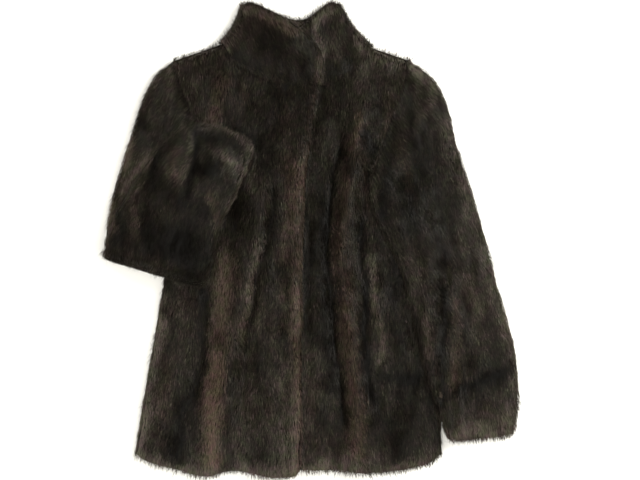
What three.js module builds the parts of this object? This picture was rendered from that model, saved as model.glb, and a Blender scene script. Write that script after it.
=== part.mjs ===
// Short fur coat laid flat on its back: right front lapped over the left, left sleeve straight down,
// right sleeve folded at the elbow with its cuff on the chest, and the stand collar lying flat above.
// Millimetres. X runs across the coat, Y from the hem to the collar, Z up from the surface it lies on.
// In the tables x is 0 on the coat's centre line, y is 0 at the lowest point of the hem, and right and
// left are the wearer's, so the right front has negative x.
import * as THREE from 'three';

// Driving dimensions
const PELT = 8; // leather with its lying hair, as one wall
const SEAM = 0.3; // space between pieces at a seam
const LAY = 1.4; // space under a piece that lies on a curved one
const EDGE_ROUND = 6; // radius of the outer edge at side and shoulder seams
const HEM_ROUND = 3; // how far the middle of a free edge stands out
const SLEEVE_SLOT = 1.4; // space inside a flattened sleeve
const CLIMB_FROM = 13; // a sleeve keeps the height of what it lies on this far past the edge
const CLIMB_TO = 46; // and is down on the next layer this far past it
const LAP_RISE = 34; // width over which the right front rises onto the left
const LAP_CLEAR = 14; // and is at its height this far before the left front's edge
const PANEL_TOP = 2 * PELT + SEAM;
const SLEEVE_THICK = 2 * PELT + SLEEVE_SLOT;

// Side seams from the hem to the armpit
const sideSeam = [
  { y: 38, right: -244, left: 232 },
  { y: 130, right: -229, left: 226 },
  { y: 250, right: -208, left: 208 },
  { y: 350, right: -192, left: 194 },
  { y: 430, right: -186, left: 186 },
];
// From the armpit round to the foot of the armhole, where the sleeve folds over the body
const underarm = [
  { x: 186, y: 430 },
  { x: 160, y: 436 },
  { x: 136, y: 447 },
  { x: 118, y: 463 },
];
const armholeFoot = { x: 118, y: 463 };
const shoulderTip = { x: 184, y: 646 };

// Neck seams, each from the shoulder to the front edge
const neckRight = [
  { x: -109, y: 672 },
  { x: -88, y: 643 },
  { x: -60, y: 627 },
  { x: -35, y: 617 },
  { x: -9, y: 612 },
  { x: 18, y: 612 },
  { x: 39, y: 615 },
];
const neckLeft = [
  { x: 121, y: 667 },
  { x: 107, y: 645 },
  { x: 86, y: 626 },
  { x: 62, y: 615 },
  { x: 38, y: 610 },
  { x: 14, y: 608 },
  { x: -4, y: 608 },
];
const neckBack = [
  { x: -109, y: 672 },
  { x: -80, y: 664 },
  { x: -40, y: 661 },
  { x: 6, y: 659 },
  { x: 52, y: 661 },
  { x: 92, y: 664 },
  { x: 121, y: 667 },
];

// Front edges from the hem up, and hems from the side seam in
const edgeRight = [
  { x: 14, y: 14 },
  { x: 13, y: 120 },
  { x: 14, y: 270 },
  { x: 16, y: 367 },
  { x: 20, y: 460 },
  { x: 29, y: 553 },
  { x: 39, y: 615 },
];
const edgeLeft = [
  { x: -26, y: 11 },
  { x: -26, y: 120 },
  { x: -26, y: 270 },
  { x: -24, y: 367 },
  { x: -20, y: 460 },
  { x: -12, y: 553 },
  { x: -4, y: 608 },
];
const hemRight = [
  { x: -244, y: 38 },
  { x: -230, y: 25 },
  { x: -195, y: 16 },
  { x: -172, y: 10 },
  { x: -149, y: 3 },
  { x: -127, y: 2 },
  { x: -101, y: 10 },
  { x: -78, y: 9 },
  { x: -53, y: 4 },
  { x: -30, y: 0 },
  { x: -6, y: 0 },
  { x: 9, y: 4 },
  { x: 14, y: 14 },
];
const hemLeft = [
  { x: 232, y: 38 },
  { x: 222, y: 25 },
  { x: 205, y: 19 },
  { x: 174, y: 11 },
  { x: 147, y: 8 },
  { x: 122, y: 6 },
  { x: 99, y: 8 },
  { x: 65, y: 11 },
  { x: 20, y: 11 },
  { x: -26, y: 11 },
];
const hemBack = [
  { x: -244, y: 38 },
  { x: -195, y: 22 },
  { x: -124, y: 10 },
  { x: -53, y: 12 },
  { x: 14, y: 16 },
  { x: 80, y: 13 },
  { x: 147, y: 14 },
  { x: 205, y: 24 },
  { x: 232, y: 38 },
];

// The line that divides a front's grid, from the hem along its largest fold to the shoulder's end
const spineRight = [
  { x: -127, y: 2 },
  { x: -114, y: 90 },
  { x: -95, y: 180 },
  { x: -79, y: 290 },
  { x: -62, y: 367 },
  { x: -54, y: 450 },
  { x: -66, y: 540 },
  { x: -90, y: 615 },
  { x: -109, y: 672 },
];
const spineLeft = [
  { x: 99, y: 8 },
  { x: 98, y: 119 },
  { x: 93, y: 200 },
  { x: 84, y: 270 },
  { x: 75, y: 350 },
  { x: 80, y: 410 },
  { x: 91, y: 480 },
  { x: 106, y: 600 },
  { x: 121, y: 667 },
];

// Folds that stand up in the fronts: where the crest runs, the reach of each flank and the height.
// A fold fades over `fade` at an end that isn't the hem.
const frontFolds = [
  {
    front: 'right', towardSide: 50, towardEdge: 23, height: 15, low: -60, high: 500, fade: 60,
    crest: spineRight,
  },
  {
    front: 'right', towardSide: 20, towardEdge: 18, height: 5, low: -60, high: 330, fade: 60,
    crest: [{ y: 0, x: -40 }, { y: 150, x: -48 }, { y: 330, x: -36 }],
  },
  {
    front: 'right', towardSide: 18, towardEdge: 11, height: 6, low: -60, high: 590, fade: 60,
    crest: [{ y: 0, x: 1 }, { y: 300, x: 2 }, { y: 460, x: 8 }, { y: 590, x: 22 }],
  },
  {
    front: 'right', towardSide: 24, towardEdge: 30, height: 6, low: -60, high: 300, fade: 70,
    crest: [{ y: 0, x: -213 }, { y: 150, x: -192 }, { y: 300, x: -172 }],
  },
  {
    front: 'right', towardSide: 22, towardEdge: 26, height: 5, low: 545, high: 650, fade: 40,
    crest: [{ y: 545, x: -140 }, { y: 600, x: -112 }, { y: 650, x: -92 }],
  },
  {
    front: 'left', towardEdge: 17, towardSide: 22, height: 7, low: -60, high: 330, fade: 90,
    crest: [{ y: 0, x: 42 }, { y: 200, x: 41 }, { y: 330, x: 41 }],
  },
  {
    front: 'left', towardEdge: 18, towardSide: 27, height: 14, low: -60, high: 600, fade: 70,
    crest: spineLeft,
  },
  {
    front: 'left', towardEdge: 13, towardSide: 16, height: 9, low: 165, high: 375, fade: 50,
    crest: [{ y: 165, x: 138 }, { y: 259, x: 130 }, { y: 375, x: 122 }],
  },
  {
    front: 'left', towardEdge: 26, towardSide: 24, height: 6, low: -60, high: 200, fade: 80,
    crest: [{ y: 0, x: 176 }, { y: 200, x: 160 }],
  },
];

// Sleeves: the ends of each section on the body side (x, y) and on the far side (farX, farY)
const leftSleeve = [
  { x: 118, y: 463, farX: 184, farY: 646 },
  { x: 119, y: 447, farX: 216, farY: 625 },
  { x: 121, y: 428, farX: 242, farY: 581 },
  { x: 125, y: 408, farX: 257, farY: 516 },
  { x: 142, y: 374, farX: 280, farY: 446 },
  { x: 158, y: 342, farX: 298, farY: 385 },
  { x: 176, y: 295, farX: 314, farY: 322 },
  { x: 190, y: 225, farX: 332, farY: 255 },
  { x: 205, y: 165, farX: 349, farY: 195 },
  { x: 222, y: 108, farX: 354, farY: 130 },
  { x: 236, y: 62, farX: 349, farY: 70 },
];
const rightUpperArm = [
  { x: -118, y: 463, farX: -184, farY: 646 },
  { x: -119, y: 447, farX: -212, farY: 626 },
  { x: -121, y: 428, farX: -234, farY: 582 },
  { x: -124, y: 408, farX: -252, farY: 526 },
  { x: -128, y: 378, farX: -270, farY: 470 },
  { x: -130, y: 346, farX: -285, farY: 413 },
  { x: -129, y: 308, farX: -291, farY: 354 },
];
const rightForearm = [
  { x: -129, y: 308, farX: -291, farY: 354 },
  { x: -117, y: 360, farX: -277, farY: 397 },
  { x: -104, y: 399, farX: -259, farY: 430 },
  { x: -86, y: 434, farX: -236, farY: 470 },
  { x: -71, y: 467, farX: -208, farY: 506 },
  { x: -59, y: 498, farX: -178, farY: 535 },
];
const TURN_STEPS = 6; // sections round the fold at the elbow
const STEPS_BETWEEN_ROWS = 2;
const CUFF_BOW = { left: 5, right: 20 }; // how far the middle of a cuff stands past its corners
const CUFF_BOW_LENGTH = 0.35; // share of the last stretch that takes the bow

// Folds along the sleeves' upper side: `across` is -1 at the body side and 1 at the far side
const leftSleeveFolds = [
  { from: 0.52, to: 0.98, across: -0.32, acrossEnd: -0.5, reach: 0.16, height: -3 },
  { from: 0.6, to: 0.98, across: -0.02, acrossEnd: -0.12, reach: 0.2, height: 4 },
  { from: 0.1, to: 0.45, across: -0.5, acrossEnd: -0.75, reach: 0.22, height: 4 },
  { from: 0.02, to: 0.22, across: 0.45, acrossEnd: 0.1, reach: 0.2, height: 4 },
];
const forearmFolds = [
  { from: 0.05, to: 1.05, across: 0.35, acrossEnd: 0.72, reach: 0.26, height: 7 },
  { from: 0.1, to: 1.05, across: 0.05, acrossEnd: 0.42, reach: 0.18, height: -4 },
  { from: 0.35, to: 1.05, across: -0.3, acrossEnd: -0.25, reach: 0.4, height: 5 },
];
const upperArmFolds = [{ from: 0.02, to: 0.3, across: 0.5, acrossEnd: 0.8, reach: 0.22, height: 4 }];

// Collar: the upper ends of the band that starts on each neck seam's points
const collarTopRight = [
  { x: -75, y: 733 },
  { x: -65, y: 737 },
  { x: -46, y: 729 },
  { x: -22, y: 717 },
  { x: 4, y: 701 },
  { x: 28, y: 681 },
  { x: 46, y: 657 },
];
const collarTopLeft = [
  { x: 70, y: 734 },
  { x: 61, y: 737 },
  { x: 50, y: 731 },
  { x: 34, y: 718 },
  { x: 18, y: 703 },
  { x: 2, y: 688 },
  { x: -12, y: 668 },
];
const collarTopBack = [
  { x: -75, y: 733 },
  { x: -58, y: 732 },
  { x: -28, y: 720 },
  { x: 10, y: 708 },
  { x: 40, y: 720 },
  { x: 60, y: 732 },
  { x: 70, y: 734 },
];
const COLLAR_FOLD_STEPS = 4; // sections round each side of the neck
const COLLAR_HEIGHT_STEPS = 5;
const COLLAR_WAIST = 7; // how far the band's sides curve in between neck and top edge

// Curves and tables

const { clamp, lerp } = THREE.MathUtils;
const smooth = (from, to, at) => THREE.MathUtils.smoothstep(at, from, to);
const point = (p) => new THREE.Vector2(p.x, p.y);
const mirrored = (points) => points.map((p) => ({ x: -p.x, y: p.y }));
const seamSide = (side) => sideSeam.map((row) => ({ x: row[side], y: row.y }));

// The place at share t of a row of points, each stretch taking an equal share
function straight(points) {
  const stretches = points.length - 1;
  return (t) => {
    const k = Math.min(Math.floor(t * stretches), stretches - 1);
    return point(points[k]).lerp(point(points[k + 1]), t * stretches - k);
  };
}

function bent(points) {
  const curve = new THREE.SplineCurve(points.map(point));
  return (t) => curve.getPoint(t);
}

// Several curves one after the other, each with its share of the whole
function chained(parts) {
  return (t) => {
    let start = 0;
    for (const { share, curve } of parts) {
      if (t <= start + share + 1e-9) return curve(clamp((t - start) / share, 0, 1));
      start += share;
    }
    return parts.at(-1).curve(1);
  };
}

// Reads a table's column at any value of its key, on a smooth curve through the rows
function column(rows, key, name) {
  const slope = (k) => {
    const before = rows[Math.max(k - 1, 0)];
    const after = rows[Math.min(k + 1, rows.length - 1)];
    return (after[name] - before[name]) / (after[key] - before[key]);
  };
  return (at) => {
    let k = 0;
    while (k < rows.length - 2 && at > rows[k + 1][key]) k += 1;
    const span = rows[k + 1][key] - rows[k][key];
    const t = clamp((at - rows[k][key]) / span, 0, 1);
    const rise = t * t * (3 - 2 * t);
    return (
      lerp(rows[k][name], rows[k + 1][name], rise) +
      span * t * (1 - t) * ((1 - t) * slope(k) - t * slope(k + 1))
    );
  };
}

function distanceToLine(a, b, x, y) {
  const [dx, dy] = [b.x - a.x, b.y - a.y];
  const t = clamp(((x - a.x) * dx + (y - a.y) * dy) / (dx * dx + dy * dy), 0, 1);
  return Math.hypot(x - a.x - t * dx, y - a.y - t * dy);
}

const distanceToLines = (points, x, y) =>
  Math.min(...points.slice(1).map((p, k) => distanceToLine(points[k], p, x, y)));

// How far a place is outside a closed outline, 0 inside it
function distanceOutside(outline, x, y) {
  let inside = false;
  outline.forEach((a, k) => {
    const b = outline[(k + 1) % outline.length];
    if (a.y > y !== b.y > y && x < a.x + ((y - a.y) / (b.y - a.y)) * (b.x - a.x)) inside = !inside;
  });
  return inside ? 0 : distanceToLines([...outline, outline[0]], x, y);
}

// Heights of the layers

for (const fold of frontFolds) fold.crestAt = column(fold.crest, 'y', 'x');
const lapAt = column(edgeLeft, 'y', 'x');

function foldHeight(front, x, y) {
  let height = 0;
  for (const fold of frontFolds.filter((f) => f.front === front)) {
    const off = (x - fold.crestAt(y)) * (front === 'right' ? 1 : -1);
    const reach = off < 0 ? fold.towardSide : fold.towardEdge;
    const across = 0.5 + 0.5 * Math.cos(Math.PI * Math.min(Math.abs(off) / reach, 1));
    const along =
      smooth(fold.low, fold.low + fold.fade, y) * (1 - smooth(fold.high - fold.fade, fold.high, y));
    height += fold.height * across * along;
  }
  return height;
}

// Rise of the right front and its collar where they lap over the left
function lapHeight(x, y) {
  const end = lapAt(y) - LAP_CLEAR;
  return (PELT + SEAM) * smooth(end - LAP_RISE, end, x);
}

// What the fronts add to their flat height at a place
function frontRelief(x, y) {
  return x < edgeRight[0].x
    ? foldHeight('right', x, y) + lapHeight(x, y)
    : foldHeight('left', x, y);
}

const closedEdges = ['right', 'left'].map((side) => seamSide(side));
const shoulders = [
  [{ x: -shoulderTip.x, y: shoulderTip.y }, neckRight[0]],
  [shoulderTip, neckLeft[0]],
];

// How far an outer face curves in at the side and shoulder seams
function edgeDrop(x, y) {
  const near = Math.min(...[...closedEdges, ...shoulders].map((line) => distanceToLines(line, x, y)));
  const off = Math.max(EDGE_ROUND - near, 0);
  return EDGE_ROUND - Math.sqrt(EDGE_ROUND * EDGE_ROUND - off * off);
}

// The body below the armholes, which the sleeves lie on
const lowerBody = [
  ...seamSide('right'),
  ...mirrored(underarm.slice(1)),
  ...underarm.slice(1).reverse(),
  ...seamSide('left').reverse(),
];

function underSleeve(x, y) {
  const share = 1 - smooth(CLIMB_FROM, CLIMB_TO, distanceOutside(lowerBody, x, y));
  return share === 0 ? 0 : share * (PANEL_TOP + LAY + frontRelief(x, y));
}

// Building closed meshes

// A closed mesh from corners and faces of three or four of them, turned right way out
function closedMesh(name, corners, faces, colour) {
  const index = faces.flatMap(([a, b, c, d]) => (d === undefined ? [a, b, c] : [a, b, c, a, c, d]));
  const volume = (list) => {
    let sum = 0;
    for (let k = 0; k < list.length; k += 3) {
      const [a, b, c] = [corners[list[k]], corners[list[k + 1]], corners[list[k + 2]]];
      sum += a.dot(b.clone().cross(c));
    }
    return sum;
  };
  if (volume(index) < 0) index.reverse();
  const geometry = new THREE.BufferGeometry().setFromPoints(corners).setIndex(index);
  geometry.computeVertexNormals();
  const material = new THREE.MeshStandardMaterial({ color: colour, roughness: 0.9, metalness: 0 });
  const mesh = new THREE.Mesh(geometry, material);
  mesh.name = name;
  return mesh;
}

// A wall between an upper and a lower grid of corners. `round` gives how far the middle of each edge
// stands out: start and end of the rows, first and last row.
function slab(name, upper, lower, round, colour) {
  const corners = [];
  const add = (p) => corners.push(p) - 1;
  const up = upper.map((row) => row.map(add));
  const down = lower.map((row) => row.map(add));
  const rows = up.length - 1;
  const cols = up[0].length - 1;
  const faces = [];
  for (let j = 0; j < rows; j += 1) {
    for (let i = 0; i < cols; i += 1) {
      faces.push([up[j][i], up[j][i + 1], up[j + 1][i + 1], up[j + 1][i]]);
      faces.push([down[j][i], down[j + 1][i], down[j + 1][i + 1], down[j][i + 1]]);
    }
  }
  const border = (cells, outward, amount) => {
    const middle = cells.map(([j, i]) => {
      const [nj, ni] = [j + outward[0], i + outward[1]];
      const centre = upper[j][i].clone().lerp(lower[j][i], 0.5);
      const away = upper[j][i].clone().sub(upper[nj][ni]).setZ(0).setLength(amount);
      return amount ? add(centre.add(away)) : null;
    });
    for (let k = 0; k < cells.length - 1; k += 1) {
      const [[j, i], [j2, i2]] = [cells[k], cells[k + 1]];
      if (amount) {
        faces.push([up[j][i], middle[k], middle[k + 1], up[j2][i2]]);
        faces.push([middle[k], down[j][i], down[j2][i2], middle[k + 1]]);
      } else {
        faces.push([up[j][i], down[j][i], down[j2][i2], up[j2][i2]]);
      }
    }
    return { cells, middle };
  };
  const across = [...Array(cols + 1).keys()];
  const along = [...Array(rows + 1).keys()];
  const sides = [
    border(across.map((i) => [0, i]), [1, 0], round.firstRow),
    border(along.map((j) => [j, cols]), [0, -1], round.rowEnd),
    border(across.map((i) => [rows, i]).reverse(), [-1, 0], round.lastRow),
    border(along.map((j) => [j, 0]).reverse(), [0, 1], round.rowStart),
  ];
  // A small face closes each corner where a middle stands out
  sides.forEach((side, k) => {
    const next = sides[(k + 1) % sides.length];
    const [j, i] = next.cells[0];
    const ends = [up[j][i], side.middle.at(-1), down[j][i], next.middle[0]].filter((id) => id !== null);
    if (ends.length > 2) faces.push(ends);
  });
  return closedMesh(name, corners, faces, colour);
}

// A grid of places between four edges (each a curve of its share t)
function coonsGrid({ bottom, top, start, end, acrossAt, alongAt }) {
  return alongAt.map((v) =>
    acrossAt.map((u) => {
      const blend = (k) =>
        (1 - v) * bottom(u)[k] + v * top(u)[k] + (1 - u) * start(v)[k] + u * end(v)[k] -
        (1 - u) * ((1 - v) * bottom(0)[k] + v * top(0)[k]) -
        u * ((1 - v) * bottom(1)[k] + v * top(1)[k]);
      return new THREE.Vector2(blend('x'), blend('y'));
    }),
  );
}

// Values from 0 to 1 in even steps between the given stops
function stepped(stops) {
  const values = [stops[0].at];
  stops.slice(1).forEach(({ at, steps }, k) => {
    for (let n = 1; n <= steps; n += 1) values.push(lerp(stops[k].at, at, n / steps));
  });
  return values;
}

// Panels of the body

const SIDE_SHARE = 0.6; // shares of a panel's outer edge: side seam, underarm, armhole
const UNDERARM_SHARE = 0.09;

function outerEdge(side) {
  const flip = side === 'right' ? mirrored : (points) => points;
  return chained([
    { share: SIDE_SHARE, curve: bent(seamSide(side)) },
    { share: UNDERARM_SHARE, curve: straight(flip(underarm)) },
    {
      share: 1 - SIDE_SHARE - UNDERARM_SHARE,
      curve: straight(flip([armholeFoot, shoulderTip])),
    },
  ]);
}

const panelRows = stepped([
  { at: 0 },
  { at: SIDE_SHARE, steps: 12 },
  { at: SIDE_SHARE + UNDERARM_SHARE, steps: 3 },
  { at: 0.985, steps: 6 },
  { at: 1, steps: 2 },
]);

// A front's grid is two patches that meet on its spine
function frontGrid(side, { hem, edge, neck, spine }) {
  const tip = side === 'right' ? mirrored([shoulderTip])[0] : shoulderTip;
  const onSpine = hem.findIndex(({ x }) => x === spine[0].x);
  const outer = coonsGrid({
    bottom: straight(hem.slice(0, onSpine + 1)),
    top: straight([tip, neck[0]]),
    start: outerEdge(side),
    end: bent(spine),
    acrossAt: stepped([{ at: 0 }, { at: 0.05, steps: 3 }, { at: 1, steps: 7 }]),
    alongAt: panelRows,
  });
  const inner = coonsGrid({
    bottom: straight(hem.slice(onSpine)),
    top: straight(neck),
    start: bent(spine),
    end: bent(edge),
    acrossAt: stepped([{ at: 0 }, { at: 1, steps: 2 * (neck.length - 1) }]),
    alongAt: panelRows,
  });
  return outer.map((row, j) => [...row, ...inner[j].slice(1)]);
}

// The wall of a front: its upper face follows the folds, its lower face the upper one
function front(name, side, outline, colour) {
  const topAt = (x, y) =>
    PANEL_TOP + foldHeight(side, x, y) + (side === 'right' ? lapHeight(x, y) : 0);
  const plan = frontGrid(side, outline);
  const upper = plan.map((row) =>
    row.map(({ x, y }) => new THREE.Vector3(x, y, topAt(x, y) - edgeDrop(x, y))),
  );
  const lower = plan.map((row) =>
    row.map(({ x, y }) => {
      const slope = Math.hypot(topAt(x + 1, y) - topAt(x - 1, y), topAt(x, y + 1) - topAt(x, y - 1)) / 2;
      const floor = PELT + SEAM + (side === 'right' ? lapHeight(x, y) : 0);
      return new THREE.Vector3(x, y, Math.max(topAt(x, y) - PELT * Math.hypot(1, slope), floor));
    }),
  );
  const round = { firstRow: HEM_ROUND, rowEnd: HEM_ROUND, lastRow: 0, rowStart: 0 };
  return slab(name, upper, lower, round, colour);
}

function backPanel(name, colour) {
  const shoulderShare = 0.2;
  const plan = coonsGrid({
    bottom: bent(hemBack),
    top: chained([
      { share: shoulderShare, curve: straight([mirrored([shoulderTip])[0], neckBack[0]]) },
      { share: 1 - 2 * shoulderShare, curve: straight(neckBack) },
      { share: shoulderShare, curve: straight([neckBack.at(-1), shoulderTip]) },
    ]),
    start: outerEdge('right'),
    end: outerEdge('left'),
    acrossAt: stepped([
      { at: 0 },
      { at: 0.016, steps: 3 },
      { at: shoulderShare, steps: 2 },
      { at: 1 - shoulderShare, steps: neckBack.length - 1 },
      { at: 0.984, steps: 2 },
      { at: 1, steps: 3 },
    ]),
    alongAt: panelRows,
  });
  const at = (height) => plan.map((row) => row.map(({ x, y }) => new THREE.Vector3(x, y, height(x, y))));
  const round = { firstRow: 0, rowEnd: 0, lastRow: 0, rowStart: 0 };
  return slab(name, at(() => PELT), at(edgeDrop), round, colour);
}

// Sleeves: flattened tubes, each a wall round a thin slot

const upperSideAt = [-1, -0.97, -0.89, -0.76, -0.58, -0.39, -0.2, 0, 0.2, 0.39, 0.58, 0.76, 0.89, 0.97, 1];
const lowerSideAt = [0.97, 0.88, 0.68, 0.45, 0.22, 0, -0.22, -0.45, -0.68, -0.88, -0.97];
const UPPER_POWER = 4; // how square the section's upper side is
const LOWER_FLAT = 0.8; // share of the lower side that rests flat

const upperHeight = (a) => (1 - Math.abs(a) ** UPPER_POWER) ** (1 / UPPER_POWER);
function lowerHeight(a) {
  const past = Math.max(Math.abs(a) - LOWER_FLAT, 0) / (1 - LOWER_FLAT);
  return Math.sqrt(1 - past * past);
}

// The tube's outline in a section: a runs across it, e from -1 below to 1 above.
// `turned` is for a stretch that lies upside down, so that its resting side is still the flat one.
function sectionLoop(turned) {
  const resting = (a) => ({ a, e: -lowerHeight(a) });
  const facing = (a) => ({ a, e: upperHeight(a) });
  const loop = [...upperSideAt.map(facing), ...lowerSideAt.map(resting)];
  return turned ? loop.map(({ a, e }) => ({ a, e: e > 0 ? lowerHeight(a) : -upperHeight(a) })) : loop;
}

function tube(name, sections, colour) {
  const corners = [];
  const rings = sections.map(({ place, halfWidth, loop }) => {
    const add = (p) => corners.push(p) - 1;
    return {
      outer: loop.map(({ a, e }) => add(place(a, e))),
      inner: loop.map(({ a, e }) =>
        add(place(a * (1 - PELT / halfWidth), (e * SLEEVE_SLOT) / SLEEVE_THICK)),
      ),
    };
  });
  const count = sections[0].loop.length;
  const faces = [];
  const strip = (from, to) => {
    for (let i = 0; i < count; i += 1) {
      const n = (i + 1) % count;
      faces.push([from[i], to[i], to[n], from[n]]);
    }
  };
  for (let k = 0; k < rings.length - 1; k += 1) {
    strip(rings[k].outer, rings[k + 1].outer);
    strip(rings[k + 1].inner, rings[k].inner);
  }
  strip(rings[0].inner, rings[0].outer);
  const [last, before] = [rings.at(-1), rings.at(-2)];
  const cuff = last.outer.map((id, i) => {
    const away = corners[id].clone().sub(corners[before.outer[i]]).setZ(0).setLength(HEM_ROUND);
    return corners.push(corners[id].clone().lerp(corners[last.inner[i]], 0.5).add(away)) - 1;
  });
  strip(last.outer, cuff);
  strip(cuff, last.inner);
  return closedMesh(name, corners, faces, colour);
}

// Sections in plan: the place across at a, at a step counted in rows
function planOf(rows, cuffBow) {
  const numbered = rows.map((row, step) => ({ ...row, step }));
  const read = (name) => column(numbered, 'step', name);
  const [x, y, farX, farY] = ['x', 'y', 'farX', 'farY'].map(read);
  const last = rows.length - 1;
  return {
    last,
    halfWidth: (step) => Math.hypot(farX(step) - x(step), farY(step) - y(step)) / 2,
    at: (a, step) => {
      const share = (a + 1) / 2;
      const place = new THREE.Vector2(lerp(x(step), farX(step), share), lerp(y(step), farY(step), share));
      const along = new THREE.Vector2(farY(step) - y(step), x(step) - farX(step)).normalize();
      const nearEnd = smooth(last * (1 - CUFF_BOW_LENGTH), last, step);
      return place.addScaledVector(along, cuffBow * nearEnd * (1 - a ** 4));
    },
  };
}

function foldsAcross(folds, a, share) {
  let height = 0;
  for (const fold of folds) {
    const along = (share - fold.from) / (fold.to - fold.from);
    const swell = Math.sin(Math.PI * clamp(along, 0, 1));
    const off = Math.abs(a - lerp(fold.across, fold.acrossEnd, clamp(along, 0, 1))) / fold.reach;
    height += fold.height * Math.sqrt(swell) * (0.5 + 0.5 * Math.cos(Math.PI * Math.min(off, 1)));
  }
  return height;
}

// A stretch of sleeve that lies the right way up on what is under it
function lyingSections(plan, under, folds) {
  return stepped([{ at: 0 }, { at: plan.last, steps: plan.last * STEPS_BETWEEN_ROWS }]).map((step) => ({
    halfWidth: plan.halfWidth(step),
    loop: sectionLoop(false),
    place: (a, e) => {
      const { x, y } = plan.at(a, step);
      const relief = e > 0.5 ? foldsAcross(folds, a, step / plan.last) : 0;
      return new THREE.Vector3(x, y, under(x, y) + (SLEEVE_THICK / 2) * (1 + e) + relief);
    },
  }));
}

// The first section stands off the body's armhole by a seam's space
function offTheArmhole(rows, side) {
  const sign = side === 'right' ? -1 : 1;
  const [dx, dy] = [shoulderTip.x - armholeFoot.x, shoulderTip.y - armholeFoot.y];
  const length = Math.hypot(dx, dy);
  const shift = { x: (sign * SEAM * dy) / length, y: (-SEAM * dx) / length };
  const [first, ...others] = rows;
  const moved = {
    x: first.x + shift.x, y: first.y + shift.y, farX: first.farX + shift.x, farY: first.farY + shift.y,
  };
  return [moved, ...others];
}

function straightSleeve(name, colour) {
  const plan = planOf(offTheArmhole(leftSleeve, 'left'), CUFF_BOW.left);
  const lying = lyingSections(plan, underSleeve, leftSleeveFolds);
  return tube(name, lying, colour);
}

function foldedSleeve(name, colour) {
  const upper = planOf(offTheArmhole(rightUpperArm, 'right'), 0);
  const lower = planOf(rightForearm, CUFF_BOW.right);
  const turnRadius = (SLEEVE_THICK + LAY) / 2;
  const line = rightForearm[0];
  const outward = new THREE.Vector2(line.farY - line.y, line.x - line.farX).normalize().negate();
  const reach = turnRadius + SLEEVE_THICK / 2;
  const outline = [
    ...rightUpperArm.map(({ x, y }) => ({ x, y })),
    { x: line.x + outward.x * reach, y: line.y + outward.y * reach },
    { x: line.farX + outward.x * reach, y: line.farY + outward.y * reach },
    ...rightUpperArm.map(({ farX, farY }) => ({ x: farX, y: farY })).reverse(),
  ];
  const underForearm = (x, y) => {
    const onArm = 1 - smooth(CLIMB_FROM, CLIMB_TO, distanceOutside(outline, x, y));
    return SLEEVE_THICK + LAY + lerp(frontRelief(x, y), underSleeve(x, y), onArm);
  };
  const turn = [];
  for (let n = 1; n < TURN_STEPS; n += 1) {
    const angle = (Math.PI * n) / TURN_STEPS;
    turn.push({
      halfWidth: lower.halfWidth(0),
      loop: sectionLoop(n > TURN_STEPS / 2),
      place: (a, e) => {
        const radius = turnRadius - (e * SLEEVE_THICK) / 2;
        const { x, y } = upper.at(a, upper.last).addScaledVector(outward, radius * Math.sin(angle));
        const axis = underSleeve(x, y) + SLEEVE_THICK + LAY / 2;
        return new THREE.Vector3(x, y, axis - radius * Math.cos(angle));
      },
    });
  }
  const forearm = stepped([{ at: 0 }, { at: lower.last, steps: lower.last * STEPS_BETWEEN_ROWS }]);
  const over = forearm.map((step) => ({
    halfWidth: lower.halfWidth(step),
    loop: sectionLoop(true),
    place: (a, e) => {
      const { x, y } = lower.at(a, step);
      const relief = e < -0.5 ? foldsAcross(forearmFolds, a, step / lower.last) : 0;
      return new THREE.Vector3(x, y, underForearm(x, y) + (SLEEVE_THICK / 2) * (1 - e) + relief);
    },
  }));
  return tube(name, [...lyingSections(upper, underSleeve, upperArmFolds), ...turn, ...over], colour);
}

// The collar: one band from the right front edge round the back of the neck to the left front edge

function collarBand(name, colour) {
  const middle = (z) => z - PELT / 2;
  const stations = [];
  const shares = (points) => stepped([{ at: 0 }, { at: 1, steps: 2 * (points.length - 1) }]);
  // Each station has its lower and upper end, the height of the band's middle and its outer normal
  const lay = (neck, tops, backwards, height, up) => {
    const list = shares(neck).map((t) => ({ low: straight(neck)(t), high: bent(tops)(t), height, up }));
    stations.push(...(backwards ? list.reverse() : list));
  };
  const turnRound = (neckPoint, topPoint, direction) => {
    const first = stations.length ? stations.at(-1) : null;
    const fromTop = first.up;
    for (let n = 1; n <= COLLAR_FOLD_STEPS; n += 1) {
      const angle = (Math.PI * n) / (COLLAR_FOLD_STEPS + 1);
      stations.push({
        low: point(neckPoint), high: point(topPoint), angle: fromTop ? angle : Math.PI - angle, direction,
      });
    }
  };
  lay(neckRight, collarTopRight, true, (x, y) => middle(PANEL_TOP + lapHeight(x, y)), true);
  turnRound(neckRight[0], collarTopRight[0], -1);
  lay(neckBack, collarTopBack, false, () => middle(PELT), false);
  turnRound(neckLeft[0], collarTopLeft[0], 1);
  lay(neckLeft, collarTopLeft, false, () => middle(PANEL_TOP), true);

  const turnRadius = (PELT + SEAM) / 2;
  const place = (station, share, outer) => {
    const { low, high, height, up, angle, direction } = station;
    const start = low.clone().add(high.clone().sub(low).setLength(2 * SEAM));
    const p = start.lerp(high, share);
    const waist = COLLAR_WAIST * 4 * share * (1 - share);
    const side = outer ? PELT / 2 : -PELT / 2;
    p.x += waist * -Math.sign(low.x - 4) * smooth(40, 105, Math.abs(low.x - 4));
    if (angle === undefined) {
      return new THREE.Vector3(p.x, p.y, height(p.x, p.y) + (up ? side : -side));
    }
    const radius = turnRadius + side;
    const axis = PELT + SEAM / 2;
    return new THREE.Vector3(
      p.x + direction * radius * Math.sin(angle), p.y, axis + radius * Math.cos(angle),
    );
  };
  const shareAt = stepped([{ at: 0 }, { at: 1, steps: COLLAR_HEIGHT_STEPS }]);
  const grid = (outer) => stations.map((station) => shareAt.map((share) => place(station, share, outer)));
  const round = { firstRow: HEM_ROUND, rowEnd: HEM_ROUND, lastRow: 0, rowStart: 0 };
  return slab(name, grid(true), grid(false), round, colour);
}

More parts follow.
